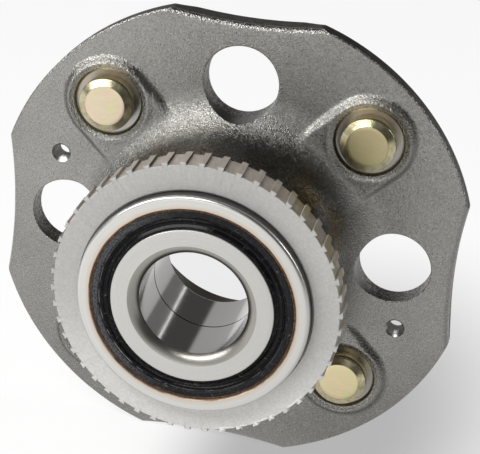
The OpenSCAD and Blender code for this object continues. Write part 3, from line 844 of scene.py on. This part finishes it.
def front_sheet(shell):
    """The knuckle side. Its points are closer on the fillet and on the ears' flanks."""
    area = side_area(SHOULDER_R, RIM_BREAK, ROLL_R, SEAT_MOUTH_R)
    fillet = [circle(SHOULDER_R + ROOT_FILLET * (1 - sin(t)))
              for t in np.radians([90, *range(86, 5, -5)])]
    loops = [fillet[0], outline(RIM_BREAK, ROLL_R)]
    loops += [circle(*mouth) for mouth in hole_mouths(SEAT_MOUTH_R)]
    rings = fillet[1:]
    rings += [circle(r, c, STUD_N) for c in STUDS
              for r in np.arange(SEAT_MOUTH_R + 0.4, FOOT_R + 0.6, 0.42)]
    rings += [circle(r, c, SCREW_N) for c in SCREWS for r in (SCREW_R + 0.9, SCREW_R + 1.3)]
    rings += [circle(ACCESS_MOUTH_R + 0.5, c, ACCESS_N) for c in ACCESS]
    held = np.concatenate(loops)
    free = np.empty((0, 2))
    for ring in rings:
        ring = ring[area(ring, 0.25 if len(ring) != DIVISIONS else 0.008)]
        # The fillet's own rings lie closer to its edge, and only the last points can be near
        others = np.concatenate([held[len(fillet[0]):], free[-6000:]])
        free = np.concatenate([free, clear_of(ring, others, 0.22)])

    def on_flank(p):
        d = about_ear(p)[2]
        return (np.abs(d - (CREST_R + FOOT_R) / 2) < 2.2) & (np.hypot(*p.T) > SHOULDER_R + 4)

    for step, keep in ((0.62, lambda p: area(p, 0.3) & on_flank(p)),
                       (1.15, lambda p: area(p, 0.5))):
        grid = clear_of(hex_points(step, keep), np.concatenate([held, free]), step * 0.62)
        free = np.concatenate([free, grid])
    found, triangles = flat_mesh(loops, free, area)
    shell.sheet(lift(found, front_y(found)), triangles, ON_FORGED)


def back_sheet(shell, inner_r):
    """The wheel side."""
    area = side_area(inner_r, BACK_CHAMFER, BACK_BREAK, STUD_HOLE_R)
    loops = [circle(inner_r), outline(BACK_CHAMFER, BACK_BREAK)]
    loops += [circle(*mouth) for mouth in hole_mouths(STUD_HOLE_R)]
    free = clear_of(hex_points(2.4, lambda p: area(p, 0.8)), np.concatenate(loops), 1.2)
    found, triangles = flat_mesh(loops, free, area)
    shell.sheet(lift(found, back_y(found)), triangles, ON_FACED)


def rim_wall(shell):
    """Rolled and broken edge, rim and chamfer."""
    rows = []
    for k in range(8):
        share = 1 - sin(radians(90 * k / 7))
        p = outline(RIM_BREAK * share, ROLL_R * share)
        rows.append(lift(p, front_y(p)))
    shell.strip(rows, ON_FORGED)
    edge = outline(0, 0)
    on_cut = np.hypot(*edge.T) < FLANGE_R - 0.01
    low = lift(edge, back_y(edge) - BACK_BREAK * on_cut)
    shell.strip(between(rows[-1], low, 5), ON_RIM)
    inner = outline(BACK_CHAMFER, BACK_BREAK)
    shell.strip([low, lift(inner, back_y(inner))], ON_FACED)


def rounding(r, edge, centre, n):
    """Circles from a hole's mouth into its wall, each with its depth below the mouth."""
    return [(circle(r + out, centre, n), depth) for out, depth in quarter(edge, 5)]


def access_wall(shell, centre):
    """Wall of an access hole, with rounded edges."""
    mouth = circle(ACCESS_MOUTH_R, centre, ACCESS_N)
    rings = rounding(ACCESS_R, ACCESS_EDGE, centre, ACCESS_N)
    near = [lift(ring, front_y(mouth) + depth) for ring, depth in rings]
    far = [lift(ring, back_y(mouth) - depth) for ring, depth in rings[::-1]]
    shell.strip(near, ON_FORGED)
    shell.strip(between(near[-1], far[0], 9), ON_HOLE)
    shell.strip(far, ON_FACED)


def stud_seat(shell, centre):
    """Wall, rounded corner and floor of a stud's seat, and the hole behind it."""
    mouth = front_y(circle(SEAT_MOUTH_R, centre, STUD_N))
    low_y = SPOT_Y - SEAT_ROUND
    rows = [lift(ring, mouth + depth)
            for ring, depth in rounding(SPOT_R, SEAT_EDGE, centre, STUD_N)]
    shell.strip(rows, ON_FORGED)
    wall_y = np.maximum(low_y, mouth + SEAT_EDGE + 0.02)
    rows = [rows[-1], lift(circle(SPOT_R, centre, STUD_N), wall_y)]
    for t in np.radians(np.linspace(18, 90, 5)):
        rows.append(lift(circle(SPOT_R - SEAT_ROUND * (1 - cos(t)), centre, STUD_N),
                         low_y + SEAT_ROUND * sin(t)))
    rows += turned_rows([(HEAD_R, SPOT_Y), (STUD_HOLE_R, SPOT_Y)], centre, STUD_N)
    shell.strip(rows, ON_SPOT)
    hole = [(STUD_HOLE_R, y) for y in np.linspace(SPOT_Y, BACK_Y, 4)]
    shell.strip(turned_rows(hole, centre, STUD_N), ON_FACED)


def screw_hole(shell, centre):
    """A tapped M6 hole, with turns 1 mm apart and a chamfer at both ends."""
    start, end = FLANGE_Y + SCREW_CHAMFER, BACK_Y - SCREW_CHAMFER
    mouth = circle(SCREW_MOUTH_R, centre, SCREW_N)
    core = circle(SCREW_R, centre, SCREW_N)
    shell.strip([lift(mouth, front_y(mouth)), lift(core, start)], ON_FACED)
    turn, rows = np.arange(SCREW_N) / SCREW_N, []
    for y in np.linspace(start, end, 76):
        depth = np.clip(1.1 - np.abs((y + turn) % 1 - 0.5) * 2.8, 0, 1) * 0.5
        depth = depth * min(1, (y - start) / 0.3, (end - y) / 0.3)
        ring = np.array(centre) + (core - centre) * (1 + depth / SCREW_R)[:, None]
        rows.append(lift(ring, y))
    shell.strip(rows, ON_THREAD)
    shell.strip([lift(core, end), lift(mouth, back_y(mouth))], ON_FACED)


def groove_centre(reach):
    """Centre of a race's groove: reach is 1 for the outer race and -1 for an inner one."""
    return (PITCH_R - reach * GROOVE_SHIFT * cos(CONTACT),
            ROW_Y + reach * GROOVE_SHIFT * sin(CONTACT))


def hub_piece():
    shell = Shell()
    relief_r = PILOT_R + FACE_RELIEF_W
    front_sheet(shell)
    back_sheet(shell, relief_r)
    rim_wall(shell)
    for hole, centres in ((access_wall, ACCESS), (stud_seat, STUDS), (screw_hole, SCREWS)):
        for c in centres:
            hole(shell, c)

    def turned(kind, *profile):
        shell.strip(turned_rows(profile), kind)

    # Barrel, from the fillet to the tone ring's shoulder and on to its end
    fillet_y = float(front_y(circle(SHOULDER_R))[0])
    turned(ON_FORGED, *((SHOULDER_R, y) for y in (fillet_y, 8, 4, 0, TONE_BACK_Y + 0.3)))
    turned(ON_FACED, (SHOULDER_R, TONE_BACK_Y + 0.3), (SHOULDER_R - 0.3, TONE_BACK_Y),
           (BARREL_R, TONE_BACK_Y))
    corner = (BARREL_R - BARREL_ROUND, -RING_W + BARREL_ROUND)
    turned(ON_BARREL, *((BARREL_R, y) for y in (TONE_BACK_Y, -12, -15.5)),
           *arc(corner, BARREL_ROUND, 0, -90, 12),
           *((r, -RING_W) for r in (32.4, 31.6, SEAT_IN_R + SEAT_CHAMFER)),
           (SEAT_IN_R, -RING_W + SEAT_CHAMFER))
    # Seal's seat and the two races inside
    turned(ON_SEAT, (SEAT_IN_R, -RING_W + SEAT_CHAMFER), (SEAT_IN_R, -SEAT_Y),
           (OPEN_SIDE_R, -SEAT_Y))
    middle = groove_centre(1)
    low = -degrees(acos((MID_LAND_R - middle[0]) / GROOVE_R))
    high = degrees(acos((OPEN_SIDE_R - middle[0]) / GROOVE_R))
    race = arc(middle, GROOVE_R, low, high, 14)
    turned(ON_RACE, (OPEN_SIDE_R, -SEAT_Y), *flipped(race[::-1], -1), (MID_LAND_R, 0), *race,
           (OPEN_SIDE_R, SEAT_Y))
    # Bore of the pilot, its nose, its outside and the relief at its foot
    turned(ON_SEAT, (OPEN_SIDE_R, SEAT_Y), *((SEAT_OUT_R, y) for y in (SEAT_Y, 22, 30, CAP_Y)),
           (CAP_R, CAP_Y), (CAP_R, PILOT_END_Y - 0.4), (CAP_R + 0.4, PILOT_END_Y))
    turned(ON_FACED, (CAP_R + 0.4, PILOT_END_Y), (PILOT_R - PILOT_CHAMFER, PILOT_END_Y),
           (PILOT_R, PILOT_END_Y - PILOT_CHAMFER), (PILOT_R, 41), (PILOT_R, BACK_Y - FACE_RELIEF),
           (relief_r, BACK_Y - FACE_RELIEF), (relief_r, BACK_Y))
    shell.piece("hub_forging", HUB_LOOKS, "hub", ["hub_flange"], "flange_steel")


hub_piece()


# Tone ring

def tone_outline():
    """The teeth's outline, and how far it lies out at each point: 0 at a root and 1 at a tip."""
    pitch = TAU / TEETH
    gap_half = (1 - TOOTH_SHARE) * pi * TONE_TIP_R / TEETH
    tip, root = asin(gap_half / TONE_TIP_R), asin(gap_half / TONE_ROOT_R)
    places = [(0, t * root) for t in np.linspace(-1, 1, 9)] + [(0.5, (root + tip) / 2)]
    places += [(1, tip + (pitch - 2 * tip) * t) for t in np.linspace(0, 1, 6)]
    places += [(0.5, pitch - (root + tip) / 2)]
    loop = []
    for i in range(TEETH):
        middle = i * pitch + radians(TOOTH_PHASE)
        loop += [(TONE_ROOT_R + (TONE_TIP_R - TONE_ROOT_R) * share, middle + turn, share)
                 for share, turn in places]
    r, turn, share = np.array(loop).T
    return np.stack([r * np.cos(turn), r * np.sin(turn)], -1), share


# Columns of quads on a tooth's two flanks, counted from the start of the gap before it
RISING_FLANK, FALLING_FLANK = (8, 9), 15

# Knocked teeth: angle, width in degrees and depth in mm
CHIPS = ((-43.5, 2.2, 0.5), (-50.2, 3.0, 0.7), (-57.6, 2.0, 0.5), (-66.0, 2.2, 0.6),
         (-73.0, 1.6, 0.35))

# How far behind the front a row of the teeth lies, and how much of a chip's depth is left there
CHIP_ROWS = ((0.45, 0.8), (0.8, 0.45), (1.2, 0.15), (1.7, 0.0), (3.2, 0.0), (5.8, 0.0))


def tone_piece():
    edge = 0.14
    loop, share = tone_outline()
    turn = np.arctan2(loop[:, 1], loop[:, 0])
    round_it = np.stack([np.cos(turn), np.sin(turn)], -1)
    ahead, behind = np.roll(loop, -1, 0) - loop, loop - np.roll(loop, 1, 0)
    normal = lambda v: np.stack([v[:, 1], -v[:, 0]], -1) / np.linalg.norm(v, axis=1)[:, None]
    outward = normal(ahead) + normal(behind)
    outward = outward / np.maximum(np.einsum("ij,ij->i", outward, outward), 1.0)[:, None] * 2
    chip = sum(size * np.exp(-((np.degrees(turn) - middle) / width) ** 2)
               for middle, width, size in CHIPS)
    chip = chip * share * (0.55 + 0.45 * np.sin(turn * 231 + 1.0))
    worn = 0.05 * share * (1 + np.sin(turn * 97) * np.sin(turn * 41 + 2))

    def layer(inset, y, chipped):
        return lift(loop - outward * inset - round_it * (chip * chipped + worn)[:, None], y)

    shell, rows = Shell(), []
    corner = quarter(edge, 4)
    rows += [layer(inset, TONE_FRONT_Y + depth, 1.0) for inset, depth in corner]
    rows += [layer(0, TONE_FRONT_Y + depth, part) for depth, part in CHIP_ROWS]
    rows += [layer(inset, TONE_BACK_Y - depth, 0.0) for inset, depth in corner[::-1]]
    column = np.arange(len(loop)) % (len(loop) // TEETH)
    flanks = [np.isin(column, RISING_FLANK), column >= FALLING_FLANK]
    # Rising flanks take the painted shade look, falling flanks the painted light look
    shell.strip(rows, np.select(flanks, [1, 2], 0))
    bore_r = BARREL_R + 0.02
    for end, y, into in ((0, TONE_FRONT_Y, 1), (-1, TONE_BACK_Y, -1)):
        face = [rows[end]] + [lift(round_it * r, y) for r in (
            TONE_ROOT_R - 0.5, (TONE_ROOT_R + bore_r) / 2, bore_r + TONE_CHAMFER)]
        shell.strip(face + [lift(round_it * bore_r, y + into * TONE_CHAMFER)])
    shell.strip([lift(round_it * bore_r, y)
                 for y in (TONE_FRONT_Y + TONE_CHAMFER, TONE_BACK_Y - TONE_CHAMFER)])
    shell.piece("tone_ring_teeth", [SINTERED, *LIT_AND_SHADED_FLANKS], "hub", ["tone_ring"], "sintered_steel", 28)


tone_piece()


# Inner rings

def lead_in():
    """Rounded lead-in at the outer end of the bore, from the bore out to the face."""
    reach = sqrt((LEAD_R / hypot(LEAD_W, LEAD_DEPTH)) ** 2 - 0.25)
    c = (BORE_R + LEAD_W / 2 + reach * LEAD_DEPTH, RING_W - LEAD_DEPTH / 2 - reach * LEAD_W)
    start = degrees(atan2(RING_W - LEAD_DEPTH - c[1], BORE_R - c[0]))
    end = degrees(atan2(RING_W - c[1], BORE_R + LEAD_W - c[0]))
    return arc(c, LEAD_R, start % 360, end % 360, 12)


def inner_ring_piece(side, name, node):
    c = groove_centre(-1)
    start = degrees(acos((LAND_R - c[0]) / GROOVE_R))
    end = 360 - degrees(acos((INNER_RELIEF_R - c[0]) / GROOVE_R))
    race = arc(c, GROOVE_R, start, end, 22)
    race += [(INNER_RELIEF_R, RING_CHAMFER), (INNER_RELIEF_R - RING_CHAMFER, 0)]
    lead, edge_r = lead_in(), LAND_R - RING_CHAMFER
    face = lead[-1:] + [(r, RING_W) for r in (20.5, 22.4, edge_r)]
    rim = arc((edge_r, RING_W - RING_CHAMFER), RING_CHAMFER, 90, 0, 4) + [(LAND_R, 16.5)]
    bore = [race[-1], (BORE_R + 0.25, 0)] + [(BORE_R, y) for y in (0.25, 6, 11)] + lead[:1]
    runs = [(3, lead), (0, face), (0, rim), (1, rim[-1:] + race), (2, bore)]
    turned_piece(name, [(kind, flipped(points, side)) for kind, points in runs],
                 [RING_FACE, RACE, RING_BORE, RING_LEAD], "inner_rings", node, "ring_steel", 14)


inner_ring_piece(-1, "inner_ring_knuckle_side", "inner_ring_inboard")
inner_ring_piece(1, "inner_ring_wheel_side", "inner_ring_outboard")


# Seals

# Lips as shares of the room between the land and the case, and of its depth
LIP_SECTION = ((1, 0), (1, 1), (0.7, 1), (0.64, 0.84), (0.54, 0.82), (0.48, 0.94), (0.42, 0.82),
               (0.26, 0.74), (0.08, 0.98), (0, 0.94), (0.14, 0.52), (0.22, 0.4), (0, 0.1),
               (0.04, 0))


def seal_pieces(side, seat_r, word, case_node, lip_node):
    def ring(kind, section, look, node, slot, sharp=32):
        turned_piece(f"seal_{kind}_{word}", [(0, flipped(section + section[:1], side))], [look],
                     "hub", node, slot, sharp)

    floor_y, wall_r, hole_r = SEAT_Y + CASE_T, seat_r - CASE_T, LAND_R + CASE_EDGE_GAP
    case = rounded([(hole_r, SEAT_Y), (seat_r, SEAT_Y), (seat_r, SEAL_END_Y),
                    (wall_r, SEAL_END_Y), (wall_r, floor_y), (hole_r, floor_y)], 0.18)
    ring("case", case, CASE, case_node, "case_steel")
    run_r = LAND_R + LIP_CLEARANCE
    width, depth = seat_r - CASE_T - run_r, SEAL_END_Y - floor_y
    lip = rounded([(run_r + width * a, floor_y + depth * b) for a, b in LIP_SECTION], 0.3, 5)
    ring("lip", lip, RUBBER, lip_node, "seal_rubber", 50)


seal_pieces(-1, SEAT_IN_R, "knuckle_side", "seal_case_inboard", "seal_lip_inboard")
seal_pieces(1, SEAT_OUT_R, "wheel_side", "seal_case_outboard", "seal_lip_outboard")


# Wheel studs

THREAD_PITCH, THREAD_DEPTH, SERRATION = 1.5, 0.85, 0.28


def stud_piece(index):
    centre, n = STUDS[index], STUD_N
    shell = Shell()
    disc_r, neck_r, foot_y = HEAD_R - BEVEL_W, STUD_R - NECK_STEP, SPOT_Y - 0.01
    head = [(r, HEAD_Y) for r in (1.5, 3.5, 5.2, disc_r - 0.1)]
    head += [(disc_r, HEAD_Y + 0.03), (disc_r + 0.08, HEAD_Y + 0.12),
             (HEAD_R - 0.16, HEAD_Y + BEVEL_H - 0.1), (HEAD_R - 0.05, HEAD_Y + BEVEL_H),
             (HEAD_R, HEAD_Y + BEVEL_H + 0.14), (HEAD_R, SPOT_Y - 0.15),
             (HEAD_R - 0.15, foot_y), (KNURL_R, foot_y)]
    rows = turned_rows(head, centre, n)
    shell.fan(rows[0], lift([centre], HEAD_Y))
    shell.strip(rows)
    serration = np.where(np.arange(n) % 2 == 0, 0.0, SERRATION)
    knurl = turned_rows([(KNURL_R - serration * share, y) for y, share in (
        (foot_y, 0), (SPOT_Y + 0.3, 1), (BACK_Y - 0.75, 1), (BACK_Y - 0.45, 1))], centre, n)
    shell.strip(knurl)
    start, end = BACK_Y + 1.2, STUD_END_Y - 1.0
    neck = turned_rows([(STUD_R, BACK_Y), (neck_r, BACK_Y + 0.6), (neck_r, start)], centre, n)
    shell.strip([knurl[-1], neck[0]])
    shell.strip(neck)
    rows = []
    for y in np.linspace(start, end, int((end - start) / THREAD_PITCH * 12) + 1):
        phase = (y / THREAD_PITCH + np.arange(n) / n) % 1
        shape = np.clip((np.abs(phase - 0.5) * 2 - 0.07) / 0.8, 0, 1)
        grow, taper = min(1.0, (y - start) / 1.6), max(min(1.0, end - y), 0.0)
        r = neck_r + (shape * THREAD_DEPTH - (THREAD_DEPTH - NECK_STEP)) * grow * taper
        rows.append(lift(circle(np.minimum(r, STUD_R), centre, n), y))
    shell.strip(rows)
    tip = turned_rows([(neck_r, end), (STUD_R - 1.1, STUD_END_Y - 0.12),
                       (STUD_R - 1.35, STUD_END_Y), (2.0, STUD_END_Y)], centre, n)
    shell.strip(tip)
    shell.fan(tip[-1], lift([centre], STUD_END_Y))
    number = index + 1
    shell.piece(f"threaded_stud_{number}", [ZINC[index]], "hub", [f"wheel_stud_{number}"],
                "zinc_steel", 40)


for index in range(4):
    stud_piece(index)


# Nodes that keep their CAD shape

for node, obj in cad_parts.items():
    look = BALL if node.startswith("ball") else POLYMER if node.startswith("cage") else None
    if look:
        obj.data.materials.clear()
        obj.data.materials.append(look)
        obj.data.shade_smooth()
        obj.data.set_sharp_from_angle(angle=radians(35))


# Stage and light

def make_floor():
    """White paper. It looks lit from within to the camera and in reflections, takes shadows, and
    has a painted shadow, grey where the photo's background is."""
    mesh = bpy.data.meshes.new("floor")
    n, r, z = 96, 3500, cad_box[0].z / MM
    mesh.from_pydata([(x * MM, y * MM, z * MM) for x, y in circle(r, n=n)], [], [tuple(range(n))])
    floor = add_object("floor", mesh)
    k = Look("white_floor", metallic=0.0, specular=0.0)
    k.set("Roughness", 0.9)
    rays = k.add("LightPath").outputs
    camera = rays["Is Camera Ray"]
    # Painted shadow that only the camera sees: grey to the right of the object and under it
    near = k.times(k.step(k.x, -22, 14), k.step(k.y, 230, 60),
                   k.step(k.x, 52, 105, 1.0, 0.3), k.step(k.y, -120, -10))
    under = k.radius(k.plus(k.x, 27), k.times_plus(k.y, 0.6, -87))
    near = k.times(k.most(near, k.step(under, 50, 15, 0.0, 0.28)), camera)
    paper = k.mix(near, (1.0, 1.0, 1.0), (0.52, 0.52, 0.525))
    # Painted light and shade that only metal sees: darker to the right and, as a painted shadow,
    # near the object, and brighter far to the left
    side = k.times(k.step(k.x, 0, 60), k.step(k.y, 60, 0, 0.24, 0.28))
    far = k.times(k.math("SUBTRACT", 1.0, side),
                  k.step(k.math("ABSOLUTE", k.y), 40, 3, 1.0, 0.5),
                  k.step(k.x, -100, -40, 1.15, 1.0))
    mirrored = k.plus(rays["Is Glossy Ray"], rays["Is Transmission Ray"])
    seen = k.math("ADD", camera, mirrored, clamp=True)
    k.set("Base Color", k.mix(seen, (0.84, 0.84, 0.84), k.shaded(paper, (0.22, 0.22, 0.22))))
    k.set("Emission Color", paper)
    k.set("Emission Strength", k.times(seen, 0.83, k.blend(camera, far, 1.0)))
    mesh.materials.append(k.mat)


def make_world():
    """A room that is pale in front, dark overhead and behind, with a pale strip behind on the left
    and a narrow bright one behind on the right. The camera sees it white."""
    world = bpy.data.worlds.new("studio")
    bpy.context.scene.world = world
    world.use_nodes = True
    k = Graph(world.node_tree, "Generated", 1.0)
    low = k.step(k.z, 0.74, 0.36)
    left = k.step(k.x, 0.5, 0.24, 0.03, 1.0)
    front = k.times(k.step(k.y, 0.1, -0.7, 0.0, 0.8), low, left)
    pale = k.times(k.step(k.y, 0.55, 0.8), k.step(k.x, -0.12, -0.2, 0.0, 0.68))
    strip = k.times(k.step(k.y, 0.7, 0.8), k.band(k.x, 0.392, 0.412, 0.008))
    beside = k.times(k.step(k.y, 0.7, 0.8), k.step(k.x, 0.415, 0.46, 0.0, 0.2))
    strips = k.times_plus(strip, 3.6, beside)
    level = k.plus(k.plus(front, pale), k.plus(strips, k.step(k.y, 0.4, 0.8, 0.07, 0.13)))
    camera = k.add("LightPath").outputs["Is Camera Ray"]
    back = k.add("Background", ("Strength", k.blend(camera, level, 1.08)))
    k.add("OutputWorld", (0, back.outputs[0]))


def lamp(name, start, end, distance, width, level):
    """A soft box that faces the object and reaches from one direction to another."""
    a, b = toward(*start), toward(*end)
    back = (a + b).normalized()
    along = (b - a) - (b - a).dot(back) * back
    along.normalize()
    length = (b - a).length * distance
    data = bpy.data.lights.new(name, "AREA")
    data.shape, data.size, data.size_y = "RECTANGLE", length, width
    data.energy = level * pi * length * width
    obj = add_object(name, data)
    obj.matrix_world = placed(back * distance, along, back.cross(along), back)
    obj.visible_camera = False


make_floor()
make_world()
lamp("key_box", (-79, 19), (6, 57), 1.0, 0.3, 8.1)
lamp("right_box", (104, 34), (110, 10), 1.1, 0.18, 10)
lamp("front_box", (-20, -2), (7, 6), 1.3, 0.32, 1.5)

bpy.context.scene.view_settings.view_transform = "Standard"
